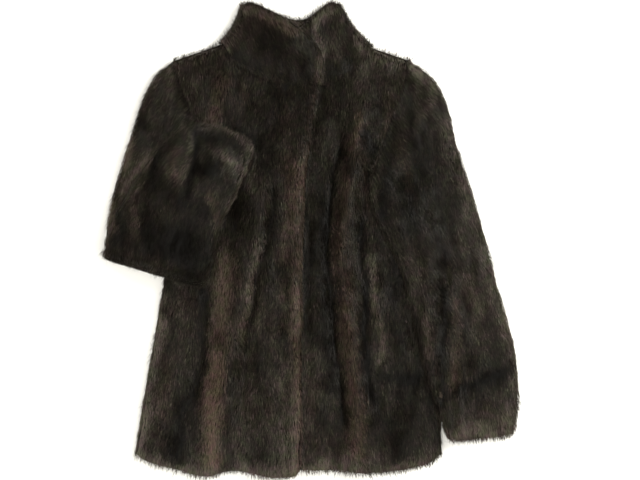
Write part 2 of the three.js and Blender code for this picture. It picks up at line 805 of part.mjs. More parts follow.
// Colours of the dark pelts, a little different from piece to piece
const DARK = '#2b211d';
const DARK_WARM = '#30241e';
const DARK_COOL = '#282220';

const rightOutline = { hem: hemRight, edge: edgeRight, neck: neckRight, spine: spineRight };
const leftOutline = { hem: hemLeft, edge: edgeLeft, neck: neckLeft, spine: spineLeft };
const coat = new THREE.Group();
coat.add(
  backPanel('back', DARK_COOL),
  front('left_front', 'left', leftOutline, DARK_WARM),
  front('right_front', 'right', rightOutline, DARK),
  straightSleeve('left_sleeve', DARK_COOL),
  foldedSleeve('right_sleeve', DARK),
  collarBand('collar', DARK_WARM),
);

// The origin goes to the middle of the coat, on the surface that it lies on
const extent = new THREE.Box3().setFromObject(coat, true);
const centre = extent.getCenter(new THREE.Vector3());
coat.position.set(-centre.x, -centre.y, 0);
coat.updateMatrixWorld(true);

export default coat;
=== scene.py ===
# %% [markdown]
# # A short fur coat, laid flat
# A fur coat is sewn from strips of pelt: thin leather with two kinds of hair, a short dense underfur
# and longer glossy guard hair that all lies one way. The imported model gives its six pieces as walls
# that reach as far as the hair does. Here each wall becomes a slightly thinner pelt, and thousands of
# small tapered blades grow out of it as the hair.

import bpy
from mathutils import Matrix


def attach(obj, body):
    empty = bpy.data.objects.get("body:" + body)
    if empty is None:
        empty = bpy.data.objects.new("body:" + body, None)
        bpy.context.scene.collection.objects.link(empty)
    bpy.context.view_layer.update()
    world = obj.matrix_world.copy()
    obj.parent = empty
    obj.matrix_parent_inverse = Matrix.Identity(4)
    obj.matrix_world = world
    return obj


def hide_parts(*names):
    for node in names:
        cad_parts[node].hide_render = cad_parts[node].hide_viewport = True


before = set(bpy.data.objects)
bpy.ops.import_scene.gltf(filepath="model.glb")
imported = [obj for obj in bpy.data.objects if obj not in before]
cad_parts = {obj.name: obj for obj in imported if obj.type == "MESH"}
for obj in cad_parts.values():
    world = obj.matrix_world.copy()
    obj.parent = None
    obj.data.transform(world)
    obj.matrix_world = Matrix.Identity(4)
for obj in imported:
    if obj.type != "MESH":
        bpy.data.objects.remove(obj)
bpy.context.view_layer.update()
print("pieces:", sorted(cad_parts))

# %% Tools and the coat's own measures
import math

import bpy
import numpy as np
from mathutils import Vector
from mathutils.bvhtree import BVHTree

MM = 0.001
CENTRE_LINE = -30.22  # mm, where the coat's centre line lies in the frame
LOWEST_HEM = -368.50  # mm, where its lowest hem point lies
FULL_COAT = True
UP = Vector((0, 0, 1))


def to_coat(points):
    """x from the centre line and y from the hem, in mm, of points in the frame."""
    return points[:, 0] / MM - CENTRE_LINE, points[:, 1] / MM - LOWEST_HEM


# %% [markdown]
# ## Where the coat is light, dark, high and low
# The pelts are let out in long stripes, and the coat falls in soft folds between them. A tailor would
# chalk these lines on the coat. Each row below is one line. It has the line's points in mm on the coat,
# how far the line reaches to each side, how many mm it stands up or sinks in, how much lighter or darker
# its hair is, and how warm its brown is. The lighter or darker is partly the pelts' own colour and partly
# painted light and shade: painted highlights on crests and along the edges, painted shade in grooves,
# and patches painted lighter or darker where light and shade fall. One table holds it all, so that the
# painted light and shade sit where their fold is.
# The back can't be seen and has no lines.

# %% The table
# rows of folds, of stripes in the pelts' own colour, and of painted light and shade
STRIPES_FOLDS_AND_PAINTED_LIGHT = {"back": []}

# %% Lines on the right front
STRIPES_FOLDS_AND_PAINTED_LIGHT["right_front"] = [
    # folds, with painted shade in their grooves and painted highlights on their crests
    ([(-43, 465), (-46, 385)], 9, 2, 0.12, 0.2),
    ([(-47, 372), (-62, 324), (-69, 290), (-70, 262)], 9, 2, 0.44, 0.1),
    ([(-78, 425), (-84, 392)], 16, -1, -0.32, 0.5),
    ([(-82, 95), (-79, 119), (-76, 158), (-73, 200)], 10, -2, 0, 0),
    ([(-73, 205), (-67, 243), (-58, 290), (-49, 336), (-40, 372), (-33, 410),
      (-32, 450)], 10, -3, -0.36, 0),
    ([(-176, 30), (-172, 107), (-149, 141), (-136, 187), (-133, 243), (-140, 305)], 15, -3, -0.35, 0),
    ([(12, 12), (11, 120), (12, 270), (14, 367), (18, 460), (27, 553), (34, 600)], 7, 1, 0.1, 0.9),
    ([(-14, 395), (-12, 345)], 16, 1, 0.38, 0.5),
    ([(-38, 60), (-44, 110), (-30, 150)], 22, 1, 0.06, 0.1),
    ([(-205, 90), (-180, 50)], 20, -1, -0.17, 0),
    ([(-105, 620), (-118, 575), (-124, 530)], 22, 2, 0.34, 0.6),
    ([(-12, 604), (-37, 608), (-56, 588), (-87, 563)], 13, -3, -0.12, 0),
    ([(-20, 470), (-26, 530), (-20, 580)], 22, -2, -0.08, 0),
    ([(-75, 605), (-84, 560)], 16, 1.5, 0.1, 0.4),
    ([(-205, 60), (-196, 120), (-190, 190)], 18, 1, 0.14, 0.4),
    # stripes and patches of lighter or darker hair, partly the pelts' own colour and partly painted light and
    # shade
    ([(-122, 34), (-126, 60), (-123, 120), (-117, 185)], 28, 0, 0.54, 1),
    ([(-112, 205), (-103, 290), (-96, 340)], 30, 0, 0.36, 0.7),
    ([(-78, 262), (-80, 222)], 13, 0, 0.36, 0.2),
    ([(5, 12), (5, 50)], 14, 0, 0.3, 0.3),
    ([(5, 70), (5, 120), (6, 228), (6, 300)], 14, 0, 0.42, 0.6),
    ([(6, 320), (8, 430), (10, 490)], 13, 0, 0.26, 0.9),
    ([(-12, 20), (-12, 190)], 17, 0, 0.3, 0.1),
    ([(-14, 310), (-14, 280)], 15, 0, 0.26, 0.2),
    ([(-126, 262), (-128, 210)], 14, 0, 0.2, 0),
    ([(-100, 190), (-98, 142)], 13, 0, -0.16, 0),
    ([(-86, 72), (-84, 36)], 15, 0, 0.2, 0.2),
    ([(-62, 200), (-54, 125)], 15, 0, 0.22, 0),
    ([(-62, 98), (-50, 60), (-48, 26)], 14, 0, 0.24, 0),
    ([(-12, 50), (-10, 26)], 12, 0, 0.14, 0),
    ([(-11, 300), (-11, 240)], 10, 0, 0.14, 0.2),
    ([(0, 390), (0, 340)], 11, 0, 0.12, 0.6),
    ([(-61, 505), (-58, 455)], 14, 0, 0.32, 0.1),
    ([(-98, 372), (-94, 340)], 15, 0, 0.14, 0.3),
    ([(-138, 335), (-132, 285)], 18, 0, -0.24, 0),
    ([(-204, 300), (-213, 240)], 16, 0, 0.48, 0.2),
    ([(-240, 60), (-233, 130), (-224, 190)], 12, 0, 0.28, 0),
    ([(-236, 30), (-160, 8)], 15, 0, 0.28, 0),
    ([(-38, 362), (-40, 235)], 12, 0, -0.18, 0),
    ([(-198, 110), (-196, 70)], 13, 0, -0.14, 0),
    ([(-2, 500), (0, 345)], 20, 0, 0, 0.7),
    ([(-150, 275), (-152, 235)], 18, 0, -0.12, 0),
    ([(-16, 650), (-14, 520)], 34, 0, 0, 0.4),
    ([(-36, 160), (-36, 270)], 30, 0, 0.12, 0.1),
    # its edges, with painted light where the hair stands apart and lets more light in
    ([(-240, 34), (-195, 18), (-127, 4), (-78, 10), (-30, 2), (10, 6)], 28, 0, 0.54, 0.1),
    ([(-242, 44), (-229, 130), (-210, 240)], 26, 0, 0.58, 0),
    ([(-190, 644), (-109, 670)], 16, 0, 0.22, 0.2),
]

# %% Lines on the left front
STRIPES_FOLDS_AND_PAINTED_LIGHT["left_front"] = [
    # folds, with painted shade in their grooves and painted highlights on their crests
    ([(98, 532), (108, 570)], 9, 1, 0.14, 1),
    ([(79, 90), (77, 120), (74, 163), (66, 212), (58, 290), (52, 346), (56, 400), (60, 440), (63, 476),
      (79, 516)], 11, -4, -0.42, 0),
    ([(118, 130), (116, 181), (110, 243), (112, 305), (107, 352), (105, 398)], 11, -3.5, -0.5, 0),
    ([(131, 182), (138, 197), (139, 228), (130, 259), (127, 299), (125, 345)], 8, 2.5, 0.36, 0.15),
    ([(126, 474), (117, 447), (121, 420), (127, 396)], 8, 1.5, 0.14, 0.4),
    ([(117, 534), (127, 515), (138, 496)], 15, -2, -0.4, 0),
    ([(135, 160), (190, 158)], 16, -1, -0.34, 0),
    ([(24, 128), (50, 130)], 16, 1, 0.1, 0),
    ([(30, 90), (28, 130), (30, 200)], 20, 1, 0.32, 0.1),
    ([(24, 240), (26, 330), (28, 400)], 12, -2, -0.17, 0),
    ([(34, 420), (40, 380)], 13, 1.5, 0.14, 0.1),
    ([(160, 40), (150, 90)], 22, -1.5, -0.3, 0),
    ([(150, 560), (146, 520), (140, 480)], 16, 2, 0.05, 0.5),
    ([(138, 606), (150, 575)], 18, 1, 0, 0.3),
    ([(58, 602), (62, 575)], 15, 1, 0.18, 0.1),
    ([(86, 505), (92, 480)], 16, -2, -0.3, 0),
    # stripes and patches of lighter or darker hair, partly the pelts' own colour and partly painted light and
    # shade
    ([(104, 48), (100, 88), (95, 166), (84, 243)], 24, 0, 0.16, 1),
    ([(79, 270), (74, 321), (75, 398), (86, 460), (98, 524)], 22, 0, 0.1, 0.9),
    ([(106, 500), (108, 450)], 16, 0, 0, 0.8),
    ([(112, 542), (116, 522)], 15, 0, -0.24, 0.8),
    ([(100, 344), (102, 300)], 12, 0, -0.26, 0),
    ([(137, 492), (138, 410)], 15, 0, -0.38, 0.2),
    ([(144, 474), (162, 468)], 14, 0, -0.22, 0),
    ([(160, 392), (156, 290)], 20, 0, -0.3, 0),
    ([(50, 280), (52, 210)], 10, 0, -0.16, 0),
    ([(56, 204), (62, 146)], 14, 0, -0.24, 0),
    ([(42, 596), (44, 556)], 11, 0, -0.14, 0),
    ([(50, 34), (80, 36), (118, 34)], 28, 0, 0.3, 0),
    ([(24, 18), (40, 14)], 14, 0, 0.24, 0),
    ([(82, 46), (82, 14)], 14, 0, 0.22, 0),
    ([(166, 654), (182, 647)], 12, 0, 0.35, 0),
    ([(78, 262), (82, 215)], 14, 0, 0.16, 0.3),
    ([(34, 140), (62, 126)], 14, 0, 0.1, 0),
    ([(92, 472), (92, 430)], 15, 0, -0.16, 0.4),
    ([(90, 396), (90, 368)], 11, 0, -0.12, 0.3),
    ([(40, 488), (40, 446)], 14, 0, -0.08, 0),
    ([(104, 152), (130, 112)], 18, 0, -0.12, 0.2),
    ([(195, 192), (196, 160)], 14, 0, -0.18, 0),
    ([(176, 550), (178, 525)], 14, 0, 0.1, 0.2),
    ([(184, 36), (210, 40)], 16, 0, -0.2, 0),
    ([(20, 620), (20, 515)], 12, 0, 0, 0.7),
    ([(68, 385), (66, 325)], 10, 0, 0.16, 0.2),
    ([(45, 400), (44, 295)], 9, 0, -0.14, 0),
    ([(89, 400), (87, 295)], 10, 0, -0.12, 0.5),
    ([(36, 592), (36, 575)], 10, 0, -0.12, 0),
    ([(40, 70), (75, 60), (118, 62)], 42, 0, 0.14, 0.2),
    ([(161, 336), (183, 300), (192, 243), (210, 157), (228, 88)], 12, 0, -0.08, 0),
    ([(48, 225), (58, 140)], 16, 0, -0.12, 0),
    ([(126, 470), (160, 455)], 22, 0, -0.36, 0),
    ([(186, 160), (186, 50)], 20, 0, -0.26, 0),
    ([(36, 90), (36, 440)], 28, 0, -0.08, 0),
    ([(165, 60), (160, 270)], 32, 0, -0.12, 0),
    # its edges, with painted light where the hair stands apart and lets more light in
    ([(14, 12), (65, 12), (122, 8), (174, 13), (230, 34)], 30, 0, 0.44, 0.2),
    ([(109, 670), (184, 646)], 16, 0, 0.22, 0.2),
]

# %% Lines on the left sleeve
STRIPES_FOLDS_AND_PAINTED_LIGHT["left_sleeve"] = [
    # folds, with painted shade in their grooves and painted highlights on their crests
    ([(229, 293), (232, 250), (227, 200), (230, 119)], 12, -3.5, -0.48, 0),
    ([(253, 280), (251, 215), (247, 160), (242, 130)], 15, 2, 0.16, 0.45),
    ([(232, 132), (262, 146), (300, 156), (338, 174)], 14, -3.5, -0.48, 0),
    ([(262, 110), (285, 92)], 20, 1.5, 0.06, 0.1),
    ([(207, 585), (196, 562), (188, 545)], 12, 2, 0.22, 0.1),
    ([(160, 520), (176, 480), (186, 430)], 16, 1, 0.04, 0.7),
    ([(150, 455), (128, 452)], 7, 1, 0.08, 0),
    ([(202, 290), (206, 240), (212, 200)], 12, 1, 0.18, 0.1),
    # stripes and patches of lighter or darker hair, partly the pelts' own colour and partly painted light and
    # shade
    ([(124, 442), (138, 425), (146, 383), (164, 336), (183, 300), (192, 243), (210, 157),
      (228, 88)], 12, 0, -0.04, 0),
    ([(182, 320), (188, 280), (202, 250), (206, 195)], 13, 0, 0.22, 0),
    ([(140, 482), (138, 410)], 15, 0, -0.34, 0),
    ([(166, 388), (174, 328)], 18, 0, -0.22, 0),
    ([(216, 205), (220, 150)], 12, 0, -0.2, 0),
    ([(223, 592), (227, 572)], 15, 0, -0.34, 0),
    ([(200, 318), (226, 302)], 16, 0, -0.16, 0),
    ([(244, 132), (244, 92)], 12, 0, -0.16, 0),
    ([(260, 445), (262, 360)], 14, 0, 0.12, 0),
    ([(266, 318), (290, 262)], 15, 0, 0.12, 0),
    ([(298, 404), (302, 362)], 10, 0, 0.12, 0),
    ([(220, 425), (226, 360)], 18, 0, -0.16, 0),
    ([(182, 440), (184, 390)], 16, 0, -0.1, 0),
    ([(190, 630), (194, 566)], 14, 0, 0.3, 0),
    ([(172, 650), (186, 640)], 13, 0, 0.45, 0),
    ([(276, 208), (276, 184)], 18, 0, -0.22, 0),
    ([(254, 156), (276, 142)], 16, 0, -0.18, 0),
    ([(338, 132), (338, 100)], 12, 0, -0.16, 0),
    ([(314, 288), (315, 270)], 12, 0, -0.14, 0),
    ([(343, 196), (344, 146)], 11, 0, 0.38, 0),
    ([(264, 82), (304, 80)], 20, 0, 0.34, 0),
    ([(168, 455), (186, 400), (218, 340)], 36, 0, -0.32, 0),
    ([(214, 640), (216, 590)], 14, 0, 0.16, 0),
    ([(262, 300), (290, 200)], 42, 0, 0.14, 0.1),
    ([(262, 98), (325, 100)], 38, 0, 0.14, 0.1),
    ([(190, 560), (196, 450)], 42, 0, -0.22, 0),
    # its edges, with painted light where the hair stands apart and lets more light in
    ([(184, 646), (216, 625), (242, 581), (257, 516), (280, 446), (298, 385), (314, 322), (332, 255),
      (349, 195), (354, 130), (349, 70)], 30, 0, 0.36, 0),
    ([(236, 62), (290, 58), (349, 68)], 24, 0, 0.4, 0),
    ([(184, 646), (212, 612), (220, 570)], 16, 0, 0.12, 0),
    ([(276, 405), (296, 340), (305, 280)], 16, 0, 0.14, 0),
]

# %% Lines on the right sleeve
STRIPES_FOLDS_AND_PAINTED_LIGHT["right_sleeve"] = [
    # folds, with painted shade in their grooves and painted highlights on their crests
    ([(-177, 538), (-212, 505), (-241, 474), (-256, 446), (-280, 393)], 9, 1.5, 0.36, 0.2),
    ([(-172, 531), (-163, 524), (-163, 500), (-170, 467), (-178, 440), (-183, 418)], 6, 3, 0.14, 0.1),
    ([(-151, 512), (-154, 470), (-164, 430)], 11, -3, -0.4, 0),
    ([(-213, 498), (-213, 440)], 12, -1.5, -0.25, 0),
    ([(-228, 432), (-250, 401), (-252, 358)], 12, 2, 0.12, 0.4),
    ([(-214, 490), (-222, 450), (-240, 420)], 11, -2.5, -0.3, 0),
    ([(-124, 496), (-98, 484), (-76, 468), (-66, 456)], 11, 2, 0.36, 0.05),
    ([(-119, 541), (-88, 522), (-62, 500)], 6, 1, 0.28, 0.05),
    ([(-152, 530), (-112, 518), (-86, 503)], 16, -1, -0.36, 0),
    ([(-150, 468), (-120, 463)], 15, -2.5, -0.45, 0),
    ([(-126, 428), (-118, 396)], 15, 1.5, 0.24, 0.8),
    ([(-160, 380), (-176, 350)], 22, -1.5, -0.25, 0),
    ([(-205, 600), (-225, 560)], 20, 1, -0.12, 0),
    ([(-178, 600), (-190, 560)], 16, -2, -0.14, 0),
    # stripes and patches of lighter or darker hair, partly the pelts' own colour and partly painted light and
    # shade
    ([(-184, 500), (-184, 460)], 13, 0, 0.08, 0.8),
    ([(-60, 484), (-80, 446), (-99, 406)], 9, 0, 0.36, 0.2),
    ([(-134, 520), (-128, 480)], 16, 0, -0.22, 0),
    ([(-120, 516), (-116, 478)], 13, 0, -0.28, 0),
    ([(-113, 480), (-112, 448)], 12, 0, -0.16, 0),
    ([(-92, 538), (-82, 530)], 12, 0, -0.16, 0),
    ([(-156, 526), (-156, 494)], 9, 0, -0.18, 0),
    ([(-180, 420), (-125, 405)], 18, 0, -0.12, 0.2),
    ([(-228, 550), (-228, 510)], 14, 0, -0.12, 0),
    ([(-232, 594), (-216, 618)], 12, 0, 0.25, 0),
    ([(-282, 425), (-278, 378)], 13, 0, 0.34, 0.5),
    ([(-240, 390), (-238, 354)], 13, 0, 0.34, 0),
    ([(-184, 632), (-186, 600)], 14, 0, 0.16, 0),
    ([(-250, 365), (-200, 355), (-130, 335)], 62, 0, -0.4, 0),
    ([(-192, 440), (-168, 415), (-150, 395)], 28, 0, -0.3, 0),
    ([(-262, 478), (-272, 445)], 14, 0, -0.14, 0),
    ([(-226, 505), (-232, 440), (-244, 370)], 18, 0, 0.26, 0.2),
    # its edges, with painted light where the hair stands apart and lets more light in
    ([(-184, 646), (-212, 626), (-234, 582)], 18, 0, 0.2, 0),
    ([(-252, 526), (-270, 470), (-285, 413), (-291, 360)], 18, 0, 0.5, 0.6),
    ([(-288, 350), (-165, 315)], 12, 0, 0.24, 0.2),
]

# %% Lines on the collar
STRIPES_FOLDS_AND_PAINTED_LIGHT["collar"] = [
    # folds, with painted shade in their grooves and painted highlights on their crests
    ([(-46, 718), (-20, 704), (0, 692)], 9, 1, 0.32, 0.6),
    ([(-60, 690), (-30, 672), (0, 652)], 16, -2, -0.12, 0.2),
    ([(34, 705), (38, 684), (49, 664)], 10, 1, 0.42, 0),
    ([(40, 655), (42, 632), (40, 606)], 10, 1, 0.32, 0.3),
    # stripes and patches of lighter or darker hair, partly the pelts' own colour and partly painted light and
    # shade
    ([(52, 636), (52, 610)], 9, 0, -0.16, 0),
    ([(80, 650), (76, 632)], 14, 0, -0.12, 0),
    ([(-92, 672), (-90, 656)], 14, 0, -0.14, 0),
    ([(-6, 702), (3, 682)], 12, 0, -0.28, 0),
    ([(44, 704), (43, 688)], 9, 0, -0.16, 0),
    ([(6, 668), (6, 626)], 10, 0, -0.1, 0.2),
    ([(-40, 660), (-40, 632)], 22, 0, 0, 0.5),
    ([(-72, 733), (-50, 727)], 12, 0, 0.2, 0.2),
    ([(42, 720), (62, 734)], 16, 0, 0.36, 0),
    ([(100, 688), (112, 668)], 13, 0, 0.22, 0),
    ([(-84, 656), (-62, 640)], 18, 0, -0.15, 0),
    ([(62, 640), (66, 612)], 18, 0, -0.3, 0),
    ([(14, 648), (18, 614)], 12, 0, -0.2, 0.3),
    ([(84, 700), (88, 640)], 18, 0, -0.15, 0),
    ([(-20, 626), (-4, 624)], 14, 0, -0.12, 0.4),
    # its edges, with painted light where the hair stands apart and lets more light in
    ([(-104, 672), (-90, 712), (-72, 733), (-40, 726), (4, 701)], 20, 0, 0.32, 0.1),
    ([(34, 718), (61, 737), (72, 730), (90, 690), (106, 672)], 20, 0, 0.16, 0),
]
print("lines chalked:", {piece: len(lines) for piece, lines in STRIPES_FOLDS_AND_PAINTED_LIGHT.items()})


# %% Reading the lines at many points at once
def nearness(x, y, line, reach):
    """1 on a line of points in mm, falling softly to 0 at its reach and at its ends."""
    nearest = np.full(x.shape, 1e9)
    for (ax, ay), (bx, by) in zip(line, line[1:]):
        dx, dy = bx - ax, by - ay
        t = np.clip(((x - ax) * dx + (y - ay) * dy) / (dx * dx + dy * dy), 0, 1)
        nearest = np.minimum(nearest, np.hypot(x - ax - t * dx, y - ay - t * dy))
    return 0.5 + 0.5 * np.cos(np.pi * np.clip(nearest / reach, 0, 1))


def read_lines(piece, points):
    """How much the lines of a piece raise each point, lighten or darken it with its own colour and painted
    light and shade, and warm it.
    """
    x, y = to_coat(points)
    raised, lighter, warmer = np.zeros(len(x)), np.zeros(len(x)), np.zeros(len(x))
    for line, reach, rise, tone_and_painted_light, warm in STRIPES_FOLDS_AND_PAINTED_LIGHT[piece]:
        near = nearness(x, y, line, reach)
        raised += rise * near
        lighter += tone_and_painted_light * near
        warmer = np.maximum(warmer, warm * near)
    return raised * MM, lighter, warmer


# %% [markdown]
# ## Soft patches
# Fur is never even: stroked hair parts and lies over in patches of a few centimetres. A patchy value
# comes from random numbers on a coarse grid, smoothed in between, and is seeded so that each run gives
# the same coat. It turns the hair, tilts it and changes its colour a little.

# %% Patchy values
GRID = 400  # random numbers along each side of the grid, more than the coat needs
OFF_COAT = 0.5  # metres, which puts the grid's corner outside the coat


def patches(points, size, seed, stretch=1):
    """Smooth random values from -1 to 1, in patches `size` mm wide and `stretch` times as long."""
    grid = np.random.default_rng(seed).uniform(-1, 1, (GRID, GRID))
    u = (points[:, 0] + OFF_COAT) / MM / size
    v = (points[:, 1] + OFF_COAT) / MM / size / stretch
    i, j = np.floor(u).astype(int) % (GRID - 1), np.floor(v).astype(int) % (GRID - 1)
    s, t = u - np.floor(u), v - np.floor(v)
    s, t = s * s * (3 - 2 * s), t * t * (3 - 2 * t)
    low = grid[i, j] * (1 - s) + grid[i + 1, j] * s
    high = grid[i, j + 1] * (1 - s) + grid[i + 1, j + 1] * s
    return low * (1 - t) + high * t


# %% [markdown]
# ## What lies open
# Hair is only needed where a piece can be seen. A short ray that leaves the surface tells this: if it
# soon meets another layer of the coat, the place is covered. A second question is where another piece is
# sewn on. There the walls of both pieces face each other in the seam, so only what looks up counts.

# %% The coat's layers as things for rays to hit
CLEAR = 9 * MM  # a place is open if nothing is nearer than this above it
SKIP = 0.02 * MM  # a ray goes on this far past a surface that it leaves
SEAM_REACH = 2.5 * MM  # a piece nearer than this beside a place is sewn on there
LEVEL = 0.2 * MM  # and it may be this much more above or below than beside
LOOKS_UP = 0.1  # a normal with more than this upwards belongs to the upper side


def layers(nodes):
    corners, faces = [], []
    for node in nodes:
        start = len(corners)
        corners += [node.matrix_world @ v.co for v in node.data.vertices]
        faces += [[start + k for k in face.vertices] for face in node.data.polygons]
    return BVHTree.FromPolygons(corners, faces)


WHOLE_COAT = layers(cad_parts.values())
OTHERS = {piece: layers(node for name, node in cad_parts.items() if name != piece) for piece in STRIPES_FOLDS_AND_PAINTED_LIGHT}


def covered(start, way, reach=CLEAR):
    """True if a ray runs into a layer. Leaving the wall that it starts in doesn't count."""
    while reach > 0:
        place, out, _, gone = WHOLE_COAT.ray_cast(start, way, reach)
        if place is None:
            return False
        if out.dot(way) < 0:
            return True
        start, reach = place + way * SKIP, reach - gone - SKIP
    return False


def open_places(points, normals, sewn):
    """1 where a place on the surface is open to the air, 0 where a layer covers it."""
    ways = [UP if seam and normal[2] > LOOKS_UP else Vector(normal) for normal, seam in zip(normals, sewn)]
    return np.array([0.0 if covered(Vector(point), way) else 1.0 for point, way in zip(points, ways)])


def at_seams(piece, points):
    """1 where another piece is sewn on beside a place, 0 elsewhere."""
    found = np.zeros(len(points))
    for k, point in enumerate(points):
        near = OTHERS[piece].find_nearest(Vector(point), SEAM_REACH)[0]
        if near is not None:
            away = near - Vector(point)
            found[k] = abs(away.z) < away.xy.length + LEVEL
    return found


print("faces of the coat:", sum(len(node.data.polygons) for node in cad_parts.values()))


# %% [markdown]
# ## The pelts
# The leather with its dense underfur makes one soft wall. It is cloth, so it isn't built from a
# primitive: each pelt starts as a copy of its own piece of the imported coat, whose loose triangles are
# merged and turned back into four-sided faces. A subdivision surface rounds them, and creases keep the
# square edges of the seams. The chalked lines press the small folds in, and the open side is drawn in by
# the depth of the hair's roots: straight down at a seam, so that two pieces stay joined, and along the
# normal elsewhere. The underside stays on the table.

# %% One pelt from one piece
ROOT_DEPTH = 3.2 * MM
MERGE = 0.01 * MM
SEAM_ANGLE = math.radians(80)  # edges sharper than this are seams, and stay square
NEARLY_FLAT = 1.2  # radians that two triangles may differ by, and still become one four-sided face
FULLY_UP = 0.5  # a normal with this much upwards counts as the upper side in full
UNDER_FADE = 1.1  # a face is drawn in less as it turns under, down to a tenth where it looks straight down


def mesh_arrays(mesh):
    """Corners and normals of a mesh as arrays."""
    corners = np.empty(len(mesh.vertices) * 3)
    normals = np.empty(len(mesh.vertices) * 3)
    mesh.vertices.foreach_get("co", corners)
    mesh.vertex_normals.foreach_get("vector", normals)
    return corners.reshape(-1, 3), normals.reshape(-1, 3)


def rounded_copy(node, levels):
    """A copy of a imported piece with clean, rounded faces and square seams."""
    bpy.ops.object.select_all(action="DESELECT")
    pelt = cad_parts[node].copy()
    pelt.data = pelt.data.copy()
    pelt.name = pelt.data.name = node + "_pelt"
    pelt.parent = None
    bpy.context.scene.collection.objects.link(pelt)
    bpy.context.view_layer.objects.active = pelt
    pelt.select_set(True)
    bpy.ops.object.mode_set(mode="EDIT")
    bpy.ops.mesh.select_all(action="SELECT")
    bpy.ops.mesh.remove_doubles(threshold=MERGE)
    bpy.ops.mesh.tris_convert_to_quads(face_threshold=NEARLY_FLAT, shape_threshold=NEARLY_FLAT)
    bpy.ops.mesh.select_all(action="DESELECT")
    bpy.ops.mesh.edges_select_sharp(sharpness=SEAM_ANGLE)
    bpy.ops.transform.edge_crease(value=1)
    bpy.ops.transform.vert_crease(value=1)
    bpy.ops.object.mode_set(mode="OBJECT")
    pelt.modifiers.new("rounding", "SUBSURF").levels = levels
    bpy.ops.object.modifier_apply(modifier="rounding")
    bpy.ops.object.shade_smooth()
    return pelt


def make_pelt(node, levels):
    pelt = rounded_copy(node, levels)
    corners, normals = mesh_arrays(pelt.data)
    SEWN[node] = at_seams(node, corners)
    BARE[node] = open_places(corners, normals, SEWN[node])
    facing_up = np.clip(normals[:, 2] / FULLY_UP, 0, 1)
    not_under = np.clip(normals[:, 2] + UNDER_FADE, 0, 1)
    inward = np.where(SEWN[node][:, None] > 0, np.outer(facing_up, UP), normals * not_under[:, None])
    corners -= inward * (ROOT_DEPTH * BARE[node])[:, None]
    corners[:, 2] += read_lines(node, corners)[0] * facing_up
    corners[:, 2] = np.maximum(corners[:, 2], 0)
    pelt.data.vertices.foreach_set("co", corners.ravel())
    pelt.data.update()
    return pelt


# %% The six pelts
BARE, SEWN = {}, {}  # for each corner of a pelt, 1 where it is open, and 1 where it is beside a seam
ROUNDING = {"back": 1, "left_front": 2, "right_front": 2, "left_sleeve": 2, "right_sleeve": 2, "collar": 2}
PELTS = {node: make_pelt(node, levels) for node, levels in ROUNDING.items()}
print("faces in the pelts:", {node: len(pelt.data.polygons) for node, pelt in PELTS.items()})


# %% [markdown]
# ## Which way the hair lies
# On the body the hair lies towards the hem and fans out a little with the flare. On a sleeve it lies
# along the arm towards the cuff, so on the folded sleeve it turns round at the elbow. On the collar it
# lies down towards the neck seam, and on its right half it leans towards the front edge.

# %% Directions of the hair
FLARE = 0.12 / 210  # how much the hair leans outwards for each mm from the centre line
COLLAR_LEAN = {"right": 0.45, "left": 0.10}
COLLAR_OPENING = 30  # mm from the centre line to where the right half of the collar ends

# Rows of y in mm and the slant of the hair there, which is its step to the side for a step along y
LEFT_SLEEVE_SLANT = [(600, 0.70), (530, 0.50), (470, 0.32), (410, 0.37), (340, 0.33), (240, 0.22), (60, 0.10)]
UPPER_ARM_SLANT = [(600, -0.75), (530, -0.50), (480, -0.30), (420, -0.25), (350, -0.12)]
FOREARM_SLANT = [(340, 0.30), (400, 0.42), (450, 0.55), (500, 0.68)]
# The outer edge of the forearm that is folded over, as x and y in mm
FOREARM_EDGE = [(-340, 250), (-291, 354), (-277, 397), (-259, 430), (-236, 470), (-208, 506), (-178, 535),
                (-40, 700)]
EDGE_MARGIN = 3  # mm


def along_table(y, rows):
    """A slant read from rows of (y, slant)."""
    rows = sorted(rows)
    return np.interp(y, [row[0] for row in rows], [row[1] for row in rows])


def flow(slant, way):
    steps = np.stack([slant, np.full(slant.shape, way), np.zeros(slant.shape)], axis=1)
    return steps / np.linalg.norm(steps, axis=1)[:, None]


def body_flow(points):
    return flow(FLARE * to_coat(points)[0], -1.0)


def left_sleeve_flow(points):
    return flow(along_table(to_coat(points)[1], LEFT_SLEEVE_SLANT), -1.0)


def right_sleeve_flow(points):
    x, y = to_coat(points)
    edge_x = np.interp(y, [place[1] for place in FOREARM_EDGE], [place[0] for place in FOREARM_EDGE])
    on_forearm = (x > edge_x - EDGE_MARGIN)[:, None]
    upper = flow(along_table(y, UPPER_ARM_SLANT), -1.0)
    fore = flow(along_table(y, FOREARM_SLANT), 1.0)
    return np.where(on_forearm, fore, upper)


def collar_flow(points):
    on_right = to_coat(points)[0] < COLLAR_OPENING
    return flow(np.where(on_right, COLLAR_LEAN["right"], COLLAR_LEAN["left"]), -1.0)


FLOWS = {"back": body_flow, "left_front": body_flow, "right_front": body_flow,
         "left_sleeve": left_sleeve_flow, "right_sleeve": right_sleeve_flow, "collar": collar_flow}
print("ways that the hair lies:", len(set(FLOWS.values())))

# %% [markdown]
# ## One hair
# A guard hair is a spindle: thin at the root, widest in the middle and drawn out to a point. Two
# triangles are enough for that, bent a little where they meet, so that the hair leaves the skin steeply
# and then lies down. Modelling one and copying it would give every hair the same bend, so the corners
# of all hairs of a piece are worked out at once in arrays, as with any mesh of thousands of small parts.

